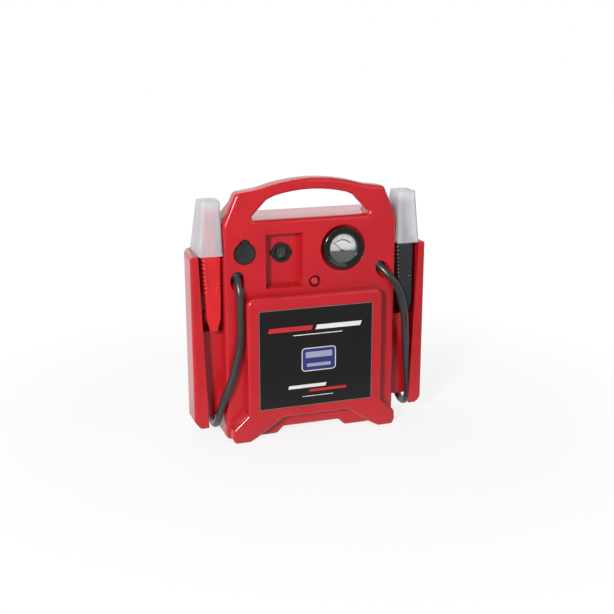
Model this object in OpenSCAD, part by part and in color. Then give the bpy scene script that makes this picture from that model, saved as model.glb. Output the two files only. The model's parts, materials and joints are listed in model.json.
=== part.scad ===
// Jump starter pack: a moulded clamshell with a carrying handle, a raised front
// panel on flared feet, a holster on each flank for a spring clamp, a clear cap
// over each pair of jaws, a twelve volt outlet, a charging inlet and a meter.
// The origin is on the ground under the middle of the pack. The front faces -Y.

/* [Housing] */
// Width of the housing between the holsters
body_w = 264; // [256:1:276]
// Width across the shoulders beside the handle
shoulder_w = 224; // [206:1:236]
// Height of the handle's crest above the ground
body_h = 382; // [378:1:396]
// Height of the shoulders
shoulder_h = 365; // [360:1:370]
// Height at which the sides turn in towards the shoulders
waist_h = 318; // [312:1:324]
// Depth of the housing without its raised panel
body_d = 94; // [90:1:108]
// Depth of the front half of the housing
front_d = 16; // [15:1:17]
// Thickness of the moulded walls
wall = 3; // [2.4:0.2:3.6]
// Radius of the housing's outer edges
edge_r = 6; // [4:0.5:7]
// Height of the arch under the housing, between its feet
arch_h = 10; // [8:1:12]
// Width of the arch under the housing
arch_w = 88; // [70:2:110]

/* [Handle] */
// Depth of the handle bar from front to back
bar_d = 26; // [24:1:29]
// Depth of the shoulders at their foot, where they lean forward to the bar
handle_d = 57; // [52:1:64]
// Width of the opening for the hand
grip_w = 178; // [150:2:184]
// Depth of the opening's floor below the shoulders
grip_drop = 40; // [37:1:43]
// Thickness of the handle bar at its crest
bar_t = 17; // [14:1:20]

/* [Raised panel] */
// Width of the raised panel
panel_w = 208; // [196:2:214]
// Height of the top edge of the raised panel
panel_top = 217; // [210:1:220]
// How far the raised panel stands out
panel_proud = 20; // [16:1:24]
// Width across the flared front feet
feet_w = 256; // [240:2:262]
// Height of the arch cut between the front feet
foot_arch_h = 33; // [26:1:40]
// Width of the label
label_w = 175; // [150:1:186]
// Height of the label
label_h = 150; // [120:1:156]
// Height of the lower edge of the label
label_z = 48; // [46:1:54]
// Thickness of the label
label_t = 0.8; // [0.5:0.1:1.2]

/* [Twelve volt outlet] */
// Distance of the outlet from the middle, to the left
outlet_x = 101; // [99:1:103]
// Height of the outlet
outlet_z = 279; // [277:1:282]
// Bore of the socket
socket_bore = 21; // [20.5:0.1:21.5]
// Depth of the socket
socket_d = 44; // [38:1:48]
// Diameter of the lid
lid_d = 28; // [27:0.5:30]
// Thickness of the lid
lid_t = 3.6; // [3:0.2:4.2]

/* [Charging inlet] */
// Width of the inlet's recess
recess_w = 56; // [54:1:58]
// Height of the inlet's recess
recess_h = 79; // [74:1:84]
// Depth of the inlet's recess
recess_d = 18; // [14:1:20]
// Distance of the recess from the middle, to the left
recess_x = 42; // [41:1:43]
// Diameter of the inlet's flange
inlet_d = 29; // [27:1:30]

/* [Meter] */
// Distance of the meter from the middle, to the right
meter_x = 48; // [46:1:50]
// Height of the meter
meter_z = 277; // [275:1:279]
// Diameter of the meter's bezel
bezel_d = 62.4; // [60:0.4:64]
// Diameter of the dial
dial_d = 42; // [40:1:44]

/* [Test button] */
// Height of the test button
button_z = 231; // [230:1:234]
// Diameter of the test button
button_d = 10.8; // [10:0.2:12]
// Travel of the test button
button_travel = 2; // [1:0.5:2.5]

/* [Holsters] */
// Overall width across the two holsters
pack_w = 359; // [357:1:366]
// Thickness of a holster's side wall
cheek_t = 11.5; // [10:0.5:12.5]
// Height of a holster's top edge
holster_top = 279; // [277:1:284]
// Height of a holster's lower edge
holster_low = 22; // [18:1:26]
// How far the holster's front edge stands out from the housing's front
holster_front = 1; // [0:0.5:3]
// Depth of a holster from front to back
holster_d = 67; // [66:1:72]
// Height of the shelf that a clamp stands on
shelf_z = 164; // [158:1:166]

/* [Jaw caps] */
// Height of a clear cap
cap_h = 76; // [74:1:84]
// Thickness of a cap's wall
cap_t = 2; // [1.6:0.2:2.4]
// Width of a cap at its foot
cap_w = 34; // [33:0.5:35]
// Depth of a cap at its foot
cap_d = 66; // [64:1:67]

/* [Clamps] */
// Width of a clamp's grips
clamp_w = 26; // [25:0.5:27]
// Length of a jaw above its pivot
jaw_l = 48; // [40:1:49]
// Diameter of the pivot pin
pin_d = 6; // [5:0.5:6.5]
// Wire of the clamp's spring
spring_wire = 2; // [1.6:0.1:2.2]
// Curls of the clamp's spring
spring_turns = 3; // [2:1:3]
// Thickness of the jaws' sheet metal
sheet_t = 2; // [1.6:0.1:2.2]

/* [Leads] */
// Diameter of a lead
lead_d = 11; // [10:0.2:11.4]

/* [Battery] */
// Width of the sealed battery
battery_w = 181; // [170:1:190]
// Depth of the sealed battery
battery_d = 77; // [70:1:78]
// Height of the sealed battery's case
battery_h = 167; // [150:1:168]

/* [Hidden] */
$fn = 48;
eps = 0.01;
slip = 0.2;              // clearance between pieces that slide together
fit = 0.05;              // radial clearance of a pin in its hole

// planes of the housing, front to back
panel_y = -(body_d + panel_proud) / 2;
front_y = panel_y + panel_proud;
rear_y = front_y + body_d;
split_y = front_y + front_d;
inner_y = front_y + wall;
back_y = rear_y - wall;
handle_back = front_y + handle_d;
bar_back = front_y + bar_d;
gusset_low = 316;        // heights between which the shoulders lean forward
gusset_top = 350;
half_w = body_w / 2;

// outlines, each point [x, z, corner radius], from the foot up on the right
crest_w = 160;           // width over which the handle's back rises
corner_r = 7.2;
function sagitta(w, h) = (w * w / 4 + h * h) / (2 * h);
function arc_z(x, top, r) = top - r + sqrt(r * r - x * x);
crest_low = shoulder_h + 4.5;
crest_rise = body_h - crest_low;
crest_r = sagitta(crest_w, crest_rise);
grip_floor = shoulder_h - grip_drop;
cavity_top = grip_floor - 11;
body_half = [
    [arch_w / 2, arch_h, 6], [arch_w / 2 + 10, 0, corner_r],
    [half_w, 0, corner_r], [half_w, waist_h, 26],
    [shoulder_w / 2, shoulder_h, 9], [crest_w / 2, crest_low, 18],
    for (x = [60 : -15 : 0]) [x, arc_z(x, body_h, crest_r), 0]
];
grip_top = body_h - bar_t;
grip_r = sagitta(116, 0.64 * crest_rise);
grip_half = [
    [grip_w / 2 - 3, grip_floor, 3], [grip_w / 2, grip_floor + 5, 3],
    [grip_w / 2 - 22, grip_top - crest_rise, 12],
    for (x = [54 : -13.5 : 0]) [x, arc_z(x, grip_top, grip_r), 0]
];
low_half = [
    [arch_w / 2, arch_h, 6], [arch_w / 2 + 10, 0, 12.2],
    [half_w, 0, 12.2], [half_w, grip_floor - 4, 12.2], [half_w - 12, grip_floor, 12.2]
];
panel_half = [
    [foot_arch_h + 17, foot_arch_h, 8], [foot_arch_h + 57, 6, 5.6],
    [feet_w / 2 - 27, 0, 5.6], [feet_w / 2 - 4, 0, 5.6], [feet_w / 2, 9, 5.6],
    [feet_w / 2 - 1, 22, 5.6], [panel_w / 2, 43, 6],
    [panel_w / 2, panel_top, 12]
];

// outlet, inlet, meter and button
outlet_at = [-outlet_x, outlet_z];
sleeve_t = 1.5;
sleeve_r = socket_bore / 2 + sleeve_t;
outlet_hole = sleeve_r + 1.6;
outlet_nut_r = outlet_hole + 2.4;
outlet_seat = 2.5;
step_y = front_y + socket_d - 10;
step_r = 8;
lid_pin_y = front_y - 2;
lid_pin_z = outlet_z + lid_d / 2 + 3;
lid_pin_r = 1;
lid_ear = 1.7;
recess_z = 264.5;
recess_floor = front_y + recess_d;
inlet_z = recess_z + 9;
barrel_r = inlet_d / 2 - 2;
bezel_seat = 5;
case_r = bezel_d / 2 - 4;
meter_seat = front_y + bezel_seat;
dial_y = meter_seat + 1;
needle_y = dial_y - 1.8;
needle_z = meter_z - 5.5;
needle_l = 17;
window_r = 20;
window_z = meter_z - 4.3;
lens_y = front_y - 1;
button_x = 4;
button_seat = 4.5;
button_rim = 3.4;
collar_t = 1.2;

// holsters and caps, measured on the right flank
hol_x = pack_w / 2;
hol_in = hol_x - cheek_t;
hol_y = front_y - holster_front;
hol_back = hol_y + holster_d;
floor_y = -16;
floor_t = 3;
floor_low = 34;
flange_t = 2.5;
cap_x = (half_w + hol_in) / 2;
cap_y0 = hol_y - 4.5;
cap_top_w = cap_w - 7;
cap_top_d = cap_d - 30;

// clamps: the pivot, and the sides of a grip as lines down from it
clamp_x = half_w + clamp_w / 2 + 3;
pivot_y = -14;
lead_back = 18;
pivot_z = shelf_z + 128;
pin_r = pin_d / 2;
lug_r = pin_r + 4;
grip_t = 3;
front_tang = 7.5;
rear_tang = front_tang + sheet_t + 0.3;
front_slope = 0.052;
rear_slope = 0.14;
tang_end = -34;
grip_len = 128;
grip_start = -13.5;
spring_r = pin_r + spring_wire / 2 + 1.4;
spring_pitch = (2 * (front_tang - sheet_t) - spring_wire - 0.3) / (spring_turns + 0.5);

// leads: where each starts, its direction and the points that it follows
pos_exit = [-112, -31, 245];
pos_dir = [0, -0.7071, -0.7071];
neg_exit = [107.5, -31, 245.5];
neg_dir = [0.48, -0.64, -0.6];
gland_r = 8;
gland_l = 12;
gland_seat = -3;
pos_route = [
    [-112, -31, 245], [-112, -37, 239], [-111.8, -41.5, 232.5], [-111.2, -44.7, 224],
    [-110.8, -45.6, 212], [-110.6, -45.5, 195], [-110.6, -45.4, 175], [-111.4, -45.2, 155],
    [-114, -45, 137], [-118, -45, 120], [-122.5, -45, 104], [-127.5, -45, 89],
    [-132.5, -44.5, 76], [-137, -42, 64], [-140, -37.5, 52], [-141.5, -32, 41],
    [-142.5, -25, 30], [-143, -15.5, 21], [-143.5, -4, 17.5], [-144, 8, 21],
    [-144.5, 16, 31], [-145, 19, 45], [-145.5, 19, 62], [-146.5, 18.5, 85],
    [-147.5, 18, 110], [-148, 18, 135], [-148, 18, 158], [-148, 18, 172]
];
neg_route = [
    [107.5, -31, 245.5], [112, -37, 239.8], [117.5, -42, 233], [124, -45.5, 225],
    [130.5, -46.5, 214.5], [136, -46.5, 202], [140, -46.5, 188], [143, -46.5, 173],
    [145.5, -45, 158], [148, -41.5, 143], [151, -37, 127], [153.5, -33, 110],
    [156, -30, 94], [158, -28, 78], [160, -27, 62], [161.5, -26.5, 47],
    [162, -24.5, 33], [162, -16, 21.5], [162, -4, 17.5], [161.5, 8, 21.5],
    [161, 16, 31], [160, 19, 45], [158, 19, 62], [155, 18.5, 85],
    [152, 18, 110], [149.5, 18, 135], [148, 18, 158], [148, 18, 172]
];

// battery and board
bat_z = arch_h + wall + 1;
bat_back = back_y - 4;
bat_top = bat_z + battery_h;
term_x = 65;
term_y = 10;
lug_z = bat_top + 9;
lug_end = term_x + 11;
cable_d = lead_d;
pos_inner = [
    [-112, -22.4, 253.6], [-112, -19, 257], [-112, -12, 259.5], [-111.5, -4, 255.5],
    [-110.5, 2.5, 246], [-110, 6, 232], [-108, 8, 217], [-101, 9.5, 203],
    [-92, term_y, 193], [-84, term_y, lug_z], [-lug_end - 0.2, term_y, lug_z]
];
neg_inner = [
    [101.7, -23.2, 252.8], [99.4, -20.2, 255.6], [97, -13, 258.5], [96.5, -5, 256.5], [98, 2, 249],
    [101, 6, 235], [103, 8, 219], [99, 9.5, 204],
    [92, term_y, 193], [84, term_y, lug_z], [lug_end + 0.2, term_y, lug_z]
];
board_y = 30;
board_z = 232;
board_w = 120;
board_h = 66;

// ---- outlines and lofts ----

function unit(v) = v / norm(v);
function flat(p) = [p.x, p.y];

// the points of one corner, rounded by an arc that touches both of its sides
function corner(a, b, c, n) =
    let (u = unit(flat(a) - flat(b)), v = unit(flat(c) - flat(b)), half = acos(u * v) / 2)
    b[2] == 0 || half > 89 ? [flat(b)] :
    let (centre = flat(b) + unit(u + v) * b[2] / sin(half),
         s = (flat(b) + u * b[2] / tan(half) - centre) / b[2],
         e = (flat(b) + v * b[2] / tan(half) - centre) / b[2],
         sweep = 180 - 2 * half)
    [for (k = [0 : n]) centre + b[2] * (sin(sweep * (1 - k / n)) * s + sin(sweep * k / n) * e)
        / sin(sweep)];

function rounded(p, n = 4) =
    [for (i = [0 : len(p) - 1])
        each corner(p[(i + len(p) - 1) % len(p)], p[i], p[(i + 1) % len(p)], n)];

// both halves of an outline from its right half, the point on the axis taken once
function whole(half) =
    concat(half, [for (i = [len(half) - 1 : -1 : 0]) if (half[i].x > eps)
        [-half[i].x, half[i].y, half[i][2]]]);

// an outline moved inwards by d, or outwards where d is negative
function inset(p, d) =
    [for (i = [0 : len(p) - 1])
        let (a = p[(i + len(p) - 1) % len(p)], c = p[(i + 1) % len(p)],
             u = unit(p[i] - a), v = unit(c - p[i]),
             m = [-u.y, u.x], n = [-v.y, v.x])
        p[i] + d * (m + n) / (1 + m * n)];

// the triangles that fill an outline, cut off one ear at a time
function side_of(a, b, c) = (b.x - a.x) * (c.y - a.y) - (b.y - a.y) * (c.x - a.x);
function inside(p, a, b, c) =
    side_of(a, b, p) > -eps && side_of(b, c, p) > -eps && side_of(c, a, p) > -eps;
function is_ear(p, q, a, b, c) = side_of(p[a], p[b], p[c]) > eps
    && len([for (i = q) if (i != a && i != b && i != c && inside(p[i], p[a], p[b], p[c])) i]) == 0;
function find_ear(p, q, k = 0) =
    k == len(q) || is_ear(p, q, q[(k + len(q) - 1) % len(q)], q[k], q[(k + 1) % len(q)]) ? k % len(q) :
    find_ear(p, q, k + 1);
function fill(p, q, out = []) = len(q) < 4 ? concat(out, [q]) :
    let (m = len(q), k = find_ear(p, q))
    fill(p, [for (i = [1 : m - 1]) q[(k + i) % m]],
        concat(out, [[q[(k + m - 1) % m], q[k], q[(k + 1) % m]]]));

// a solid through copies of an outline, each at its own height and inset
module loft(p, stations) {
    n = len(p);
    top = (len(stations) - 1) * n;
    polyhedron(
        points = [for (s = stations) for (q = inset(p, s[1])) [q.x, q.y, s[0]]],
        faces = concat(
            fill(inset(p, stations[0][1]), [for (i = [0 : n - 1]) i]),
            [for (t = fill(inset(p, stations[len(stations) - 1][1]), [for (i = [0 : n - 1]) i]))
                [top + t[2], top + t[1], top + t[0]]],
            [for (j = [0 : len(stations) - 2]) for (i = [0 : n - 1])
                let (a = j * n + i, b = j * n + (i + 1) % n)
                each [[a, a + n, b + n], [a, b + n, b]]]
        ));
}

// stands a solid drawn on the XY plane up, its height pointing to the front
module upright() rotate([90, 0, 0]) children();

// heights and insets of an edge rounded by r that ends at height h, going up
function round_up(h, r) = [for (t = [0 : 30 : 90]) [h - r + r * sin(t), r * (1 - cos(t))]];
function round_down(h, r) = [for (t = [90 : -30 : 0]) [h + r - r * sin(t), r * (1 - cos(t))]];
function flare_up(h, r) = concat([for (s = round_up(h, r)) [s[0], -s[1]]], [[h + 1, -r - 1]]);
function flare_down(h, r) = concat([[h - 1, -r - 1]], [for (s = round_down(h, r)) [s[0], -s[1]]]);

// a cylinder along Y from y0 to y1 at [x, z], and a cone likewise
module disc(at, r, y0, y1) translate([at.x, y1, at.y]) rotate([90, 0, 0]) cylinder(r = r, h = y1 - y0);
module taper(at, r0, r1, y0, y1)
    translate([at.x, y1, at.y]) rotate([90, 0, 0]) cylinder(r1 = r1, r2 = r0, h = y1 - y0);
module box(a, b) translate(a) cube(b - a);

// a cylinder from point a along direction d
module rod(a, d, r, from, to)
    translate(a) rotate([0, acos(d.z / norm(d)), atan2(d.y, d.x)]) translate([0, 0, from])
        cylinder(r = r, h = to - from);

// a tube swept along points, its rings turned as little as the path allows
function tangents(p) = [for (i = [0 : len(p) - 1])
    unit(p[min(i + 1, len(p) - 1)] - p[max(i - 1, 0)])];
function square_to(v, t) = unit(v - (v * t) * t);
function normals(t, i = 0, last = [1, 0.02, 0.03], out = []) =
    i == len(t) ? out : let (n = square_to(last, t[i])) normals(t, i + 1, n, concat(out, [n]));
module tube(path, r, sides) {
    t = tangents(path);
    m = normals(t);
    n = len(path);
    polyhedron(
        points = [for (i = [0 : n - 1]) for (k = [0 : sides - 1])
            let (a = 360 * k / sides) path[i] + r * (cos(a) * m[i] + sin(a) * cross(t[i], m[i]))],
        faces = concat(
            [[for (k = [0 : sides - 1]) k]],
            [[for (k = [sides - 1 : -1 : 0]) (n - 1) * sides + k]],
            [for (i = [0 : n - 2]) for (k = [0 : sides - 1])
                let (a = i * sides + k, b = i * sides + (k + 1) % sides)
                each [[a, a + sides, b + sides], [a, b + sides, b]]]
        ));
}

// ---- housing ----

screw_spots = [for (s = [-1, 1]) for (p = [[half_w - 10, 34], [half_w - 10, 150],
    [half_w - 10, 236], [half_w - 10, 300], [shoulder_w / 2 - 14, shoulder_h - 16]]) [s * p.x, p.y]];
boss_spots = [for (p = screw_spots) if (p.y < waist_h) p];
screw_r = 2;
screw_tip = split_y - 8;
screw_seat = split_y + 33;

module housing_screws() color("dimgray")
    for (p = screw_spots) {
        back = p.y < waist_h ? screw_seat : bar_back - 5;
        disc(p, screw_r, screw_tip, back);
        disc(p, 3.6, back, back + 2.6);
    }

// the hand's opening: straight through with a round front edge, and wider behind the bar
module grip_cut() upright() {
    loft(rounded(whole(grip_half), 3), concat([[-rear_y - 1, 0]], flare_up(-front_y, edge_r)));
    intersection() {
        loft(rounded(whole(grip_half), 3), concat([[-handle_back - 1, -edge_r]],
            [for (s = round_down(-bar_back, edge_r)) [s[0], -s[1]]]));
        translate([-half_w, grip_floor, -rear_y]) cube([body_w, body_h, body_d]);
    }
}

// the cavity inside both halves, as the outline of its walls
module cavity_2d() offset_box(half_w - wall, arch_h + wall, cavity_top, 6);
module offset_box(hw, z0, z1, r)
    polygon(rounded([[-hw, z0, r], [hw, z0, r], [hw, z1, r], [-hw, z1, r]], 3));

module gland_boss(at, dir) intersection() {
    rod(at, dir, gland_r + 4, -gland_l, 16);
    box([-half_w + 1, front_y + 1, 200], [half_w - 1, split_y, 300]);
}
module gland_cut(at, dir) {
    rod(at, dir, gland_r + 2.4, gland_seat, 40);
    rod(at, dir, gland_r + fit, -gland_l - 10, gland_seat + 1);
}

module recess_cut() {
    x0 = -recess_x - recess_w / 2;
    z0 = recess_z - recess_h / 2;
    hull() {
        box([x0, front_y - 1, z0], [x0 + recess_w, front_y, z0 + recess_h]);
        box([x0 + 1.5, recess_floor - 1, z0 + 3], [x0 + recess_w - 2, recess_floor, z0 + recess_h - 1.5]);
    }
}

module holster_holes(r, x0, x1) for (s = [-1, 1]) flank(s) for (p = holster_spots)
    translate([x0, p.x, p.y]) rotate([0, 90, 0]) cylinder(r = r, h = x1 - x0);

module front_housing() color("firebrick") difference() {
    union() {
        difference() {
            union() {
                upright() loft(rounded(whole(body_half)), concat([[-split_y, 0]], round_up(-front_y, edge_r)));
                upright() loft(rounded(whole(panel_half)), concat([[-front_y - 1, 0]], round_up(-panel_y, 5)));
            }
            upright() translate([0, 0, -split_y - 1]) linear_extrude(split_y - inner_y + 1) cavity_2d();
            upright() translate([0, 0, -inner_y - 1]) linear_extrude(inner_y - panel_y - wall + 1)
                offset_box(panel_w / 2 - wall - 1, foot_arch_h + wall + 8, panel_top - wall, 4);
        }
        // the pocket of the inlet, the seats of the meter, outlet and glands
        box([-recess_x - recess_w / 2 - wall, inner_y - 1, recess_z - recess_h / 2 - wall],
            [-recess_x + recess_w / 2 + wall, recess_floor + wall, recess_z + recess_h / 2 + wall]);
        disc([meter_x, meter_z], bezel_d / 2 + 5, inner_y - 1, meter_seat + wall);
        gland_boss(pos_exit, pos_dir);
        gland_boss(neg_exit, neg_dir);
        disc(outlet_at, outlet_nut_r + 3, inner_y - 1, inner_y + 2.5);
        disc(button_at, button_d / 2 + button_rim + 2, inner_y - 1, front_y + button_seat + 2);
        for (p = boss_spots) disc(p, 5.5, inner_y - 1, split_y);
        // ribs that steady the battery
        for (x = [-60, 0, 60])
            box([x - wall / 2, panel_y + wall - 1, foot_arch_h + wall + 7],
                [x + wall / 2, bat_back - battery_d - slip, min(bat_top, panel_top) - 20]);
    }
    grip_cut();
    recess_cut();
    disc([-recess_x, inlet_z], barrel_r + slip, recess_floor - 1, recess_floor + wall + 1);
    // the teardrop round the outlet, and its hole
    teardrop(2, front_y - 1, front_y + outlet_seat);
    disc(outlet_at, outlet_hole, front_y - 1, inner_y + 3);
    disc(outlet_at, outlet_nut_r + slip, inner_y + 2.5, split_y);
    // the meter's dish, seat and hole
    taper([meter_x, meter_z], bezel_d / 2 + 5.5, bezel_d / 2 + 0.5, front_y - 0.5, front_y + 4);
    disc([meter_x, meter_z], bezel_d / 2 + 0.5, front_y - 1, meter_seat);
    disc([meter_x, meter_z], case_r + slip, front_y, split_y);
    // the button's seat and hole
    disc(button_at, button_d / 2 + button_rim, front_y - 1, front_y + button_seat);
    disc(button_at, button_d / 2 + 1.6 + slip, front_y - 1, front_y + button_seat + 3);
    gland_cut(pos_exit, pos_dir);
    gland_cut(neg_exit, neg_dir);
    upright() translate([0, 0, -panel_y - label_t]) linear_extrude(2)
        label_2d(slip);
    for (p = screw_spots) disc(p, screw_r + fit, screw_tip - 1, split_y + 1);
    holster_holes(2 + fit, half_w - wall - 1, half_w + 1);
}

// the housing's flanks behind the bar, which lean forward to it above the waist
module shoulders() intersection() {
    upright() loft(rounded(whole(body_half)), concat(round_down(-handle_back, edge_r), [[-split_y, 0]]));
    along_x(-half_w - 1, half_w + 1) polygon(rounded([[split_y - 1, -1, 0], [handle_back + 1, -1, 0],
        [handle_back + 1, gusset_low, 10], [bar_back - 4, gusset_top, 0], [split_y - 1, gusset_top, 0]]));
}

module rear_housing() color("firebrick") difference() {
    union() {
        difference() {
            union() {
                upright() loft(rounded(whole(body_half)), concat(round_down(-bar_back, edge_r), [[-split_y, 0]]));
                shoulders();
                upright() loft(rounded(whole(low_half)), concat(round_down(-rear_y, 12), [[-split_y, 0]]));
            }
            upright() translate([0, 0, -back_y]) linear_extrude(back_y - split_y + 1) intersection() {
                cavity_2d();
                offset_box(half_w - 10, arch_h + wall, cavity_top, 6);
            }
            upright() translate([0, 0, -back_y + 10]) linear_extrude(back_y - split_y) cavity_2d();
        }
        for (p = boss_spots) disc(p, 5.5, split_y, rear_y - 6);
        // ribs behind the battery and pillars for the board
        for (x = [-60, 0, 60]) box([x - wall / 2, bat_back, bat_z], [x + wall / 2, back_y + 1, bat_top - 10]);
        for (p = board_spots) disc(p, 4, board_y + 1.6, back_y + 1);
    }
    grip_cut();
    for (p = screw_spots) disc(p, screw_r + slip, split_y - 1, rear_y);
    for (p = boss_spots) disc(p, 4, screw_seat, rear_y + 1);
    for (p = screw_spots) if (p.y > waist_h) disc(p, 4, bar_back - 5, rear_y + 1);
    for (p = board_spots) disc(p, 1.2 + fit, board_y, board_y + 12);
    holster_holes(2 + fit, half_w - wall - 1, half_w + 1);
}

module label_2d(gap) offset_box(label_w / 2 + gap, label_z - gap, label_z + label_h + gap, 1.5);
module label_plate() color("#1c1b1d") upright() translate([0, 0, -panel_y - label_t])
    linear_extrude(label_t) label_2d(0);

// ---- outlet ----

// a disc with a tip above it at 45 degrees, larger than the lid by grow
module teardrop(grow, y0, y1) {
    disc(outlet_at, lid_d / 2 + grow, y0, y1);
    translate([-outlet_x, y1, outlet_z]) upright() linear_extrude(y1 - y0)
        polygon(inset(rounded([[-lid_d * 0.354, lid_d * 0.353, 0], [lid_d * 0.354, lid_d * 0.353, 0],
            [0, lid_d * 0.707, 3.5]]), -grow));
}

module outlet_bezel() color("#202020") difference() {
    union() {
        teardrop(2 - slip, front_y + 1.3, front_y + outlet_seat);
        disc(outlet_at, lid_d / 2 - 0.5, front_y, front_y + outlet_seat);
        disc(outlet_at, outlet_hole - fit, front_y + 1, inner_y + 12);
        for (s = [-1, 1]) translate([-outlet_x + s * 4.4 - 0.9, lid_pin_y, lid_pin_z]) {
            rotate([0, 90, 0]) cylinder(r = lid_ear, h = 1.8);
            translate([0, 0, -lid_ear]) cube([1.8, front_y + outlet_seat - lid_pin_y, lid_ear + 0.4]);
        }
    }
    disc(outlet_at, sleeve_r + fit, front_y - 5, inner_y + 13);
    translate([-outlet_x - 10, lid_pin_y, lid_pin_z]) rotate([0, 90, 0]) cylinder(r = lid_pin_r, h = 20);
}

// wide as far as the step that a plug's shoulder meets, narrow behind it
module outlet_sleeve() color("silver") difference() {
    disc(outlet_at, sleeve_r, front_y + 1.2, front_y + socket_d);
    disc(outlet_at, socket_bore / 2, front_y, step_y);
    disc(outlet_at, step_r, front_y, front_y + socket_d - sleeve_t);
    disc(outlet_at, 5, front_y, front_y + socket_d + 1);
}

module outlet_contact() color("goldenrod") {
    disc(outlet_at, 4, step_y + 0.5, front_y + socket_d);
    disc(outlet_at, 9, front_y + socket_d, front_y + socket_d + 4);
    disc(outlet_at, 2.4, front_y + socket_d + 3, front_y + socket_d + 10);
}

module outlet_nut() color("#2a2a2a") difference() {
    disc(outlet_at, outlet_nut_r, inner_y + 2.5, inner_y + 9);
    disc(outlet_at, outlet_hole, inner_y, inner_y + 10);
}

module outlet_lid() color("#181818") difference() {
    union() {
        difference() {
            teardrop(0, front_y - lid_t, front_y - slip);
            for (s = [-1, 1]) translate([-outlet_x + s * 6.4 - 3, front_y - 10, lid_pin_z - lid_ear - 0.4])
                cube([6, 20, 10]);
        }
        disc(outlet_at, socket_bore / 2 - 0.6, front_y - 1, front_y + 1);
        translate([-outlet_x - 3.2, lid_pin_y, lid_pin_z]) rotate([0, 90, 0]) cylinder(r = lid_ear, h = 6.4);
    }
    translate([-outlet_x - 10, lid_pin_y, lid_pin_z]) rotate([0, 90, 0]) cylinder(r = lid_pin_r + fit, h = 20);
}

module outlet_lid_pin() color("silver")
    translate([-outlet_x - 5.3, lid_pin_y, lid_pin_z]) rotate([0, 90, 0]) cylinder(r = lid_pin_r, h = 10.6);

// ---- charging inlet ----

module inlet_body() color("#1b1b1b") difference() {
    union() {
        disc([-recess_x, inlet_z], inlet_d / 2, recess_floor - 3, recess_floor);
        disc([-recess_x, inlet_z], barrel_r, recess_floor - 1, recess_floor + 18);
        for (s = [-1, 1]) box([-recess_x + s * (inlet_d / 2) - 2, recess_floor - 2, inlet_z - 3],
            [-recess_x + s * (inlet_d / 2) + 2, recess_floor, inlet_z + 3]);
    }
    disc([-recess_x, inlet_z], barrel_r - 2, recess_floor - 4, recess_floor + 15);
}

module inlet_pins() color("goldenrod") {
    for (s = [-1, 1]) box([-recess_x + s * 4.6 - 0.75, recess_floor, inlet_z - 1],
        [-recess_x + s * 4.6 + 0.75, recess_floor + 15, inlet_z + 5.4]);
    disc([-recess_x, inlet_z - 5], 2.2, recess_floor + 1, recess_floor + 15);
}

// ---- meter ----

meter_at = [meter_x, meter_z];
module meter_case() color("#161616") difference() {
    union() {
        disc(meter_at, bezel_d / 2, front_y - 2, meter_seat);
        taper(meter_at, bezel_d / 2 - 1, bezel_d / 2, front_y - 3.5, front_y - 2);
        disc(meter_at, case_r, meter_seat - 1, meter_seat + 26);
    }
    disc(meter_at, dial_d / 2 + 1, front_y - 5, meter_seat + 24);
    taper(meter_at, bezel_d / 2 - 2.2, dial_d / 2 + 1, front_y - 3.6, lens_y);
}

module meter_dial() color("white") difference() {
    disc(meter_at, dial_d / 2 + 0.8, dial_y, dial_y + 1.2);
    disc([meter_x, needle_z], 1.6, dial_y - 1, dial_y + 2);
}

module meter_movement() color("#8a7a55") {
    disc(meter_at, 17, dial_y + 1.2, meter_seat + 24);
    disc([meter_x, needle_z], 0.8, needle_y - 1.2, dial_y + 2);
}

module meter_needle() color("black") difference() {
    rotate_about([meter_x, 0, needle_z], -44) union() {
        box([meter_x - 0.5, needle_y - 0.4, needle_z - 4], [meter_x + 0.5, needle_y + 0.4, needle_z + needle_l]);
        disc([meter_x, needle_z], 2.6, needle_y - 0.6, needle_y + 0.6);
    }
    disc([meter_x, needle_z], 0.8 + fit, needle_y - 2, needle_y + 2);
}
module rotate_about(p, a) translate(p) rotate([0, a, 0]) translate(-p) children();

module meter_mask() color("#4a4c4e") difference() {
    disc(meter_at, dial_d / 2 + 0.8, dial_y - 5, dial_y - 4);
    intersection() {
        disc(meter_at, window_r, dial_y - 6, dial_y - 3);
        box([meter_x - bezel_d, dial_y - 6, window_z], [meter_x + bezel_d, dial_y - 3, meter_z + bezel_d]);
    }
}

module meter_lens() color("lightcyan", 0.4) disc(meter_at, dial_d / 2 + 0.8, lens_y, lens_y + 1.6);

// ---- test button ----

button_at = [button_x, button_z];
sw_y = inner_y + 10;
module button_bezel() color("firebrick") difference() {
    union() {
        disc(button_at, button_d / 2 + button_rim - slip, front_y + button_seat - collar_t, front_y + button_seat);
        disc(button_at, button_d / 2 + 1.6, front_y + button_seat - 1, sw_y);
    }
    disc(button_at, button_d / 2 + slip, front_y - 5, sw_y + 1);
}

module test_button() color("red") {
    disc(button_at, button_d / 2, front_y + 0.5, front_y + 9.5);
    taper(button_at, button_d / 2 - 1.2, button_d / 2, front_y - 0.5, front_y + 0.5);
    disc(button_at, 1.8, front_y + 8, sw_y + 2);
}

module test_switch() color("#303030") difference() {
    union() {
        box([button_x - 9, sw_y, button_z - 9], [button_x + 9, sw_y + 14, button_z + 9]);
        for (s = [-1, 1]) box([button_x + s * 5 - 0.4, sw_y + 13, button_z - 3], [button_x + s * 5 + 0.4, sw_y + 20, button_z + 3]);
    }
    disc(button_at, 2.1, sw_y - 1, sw_y + 6);
}

// ---- glands, leads and cables ----

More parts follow.
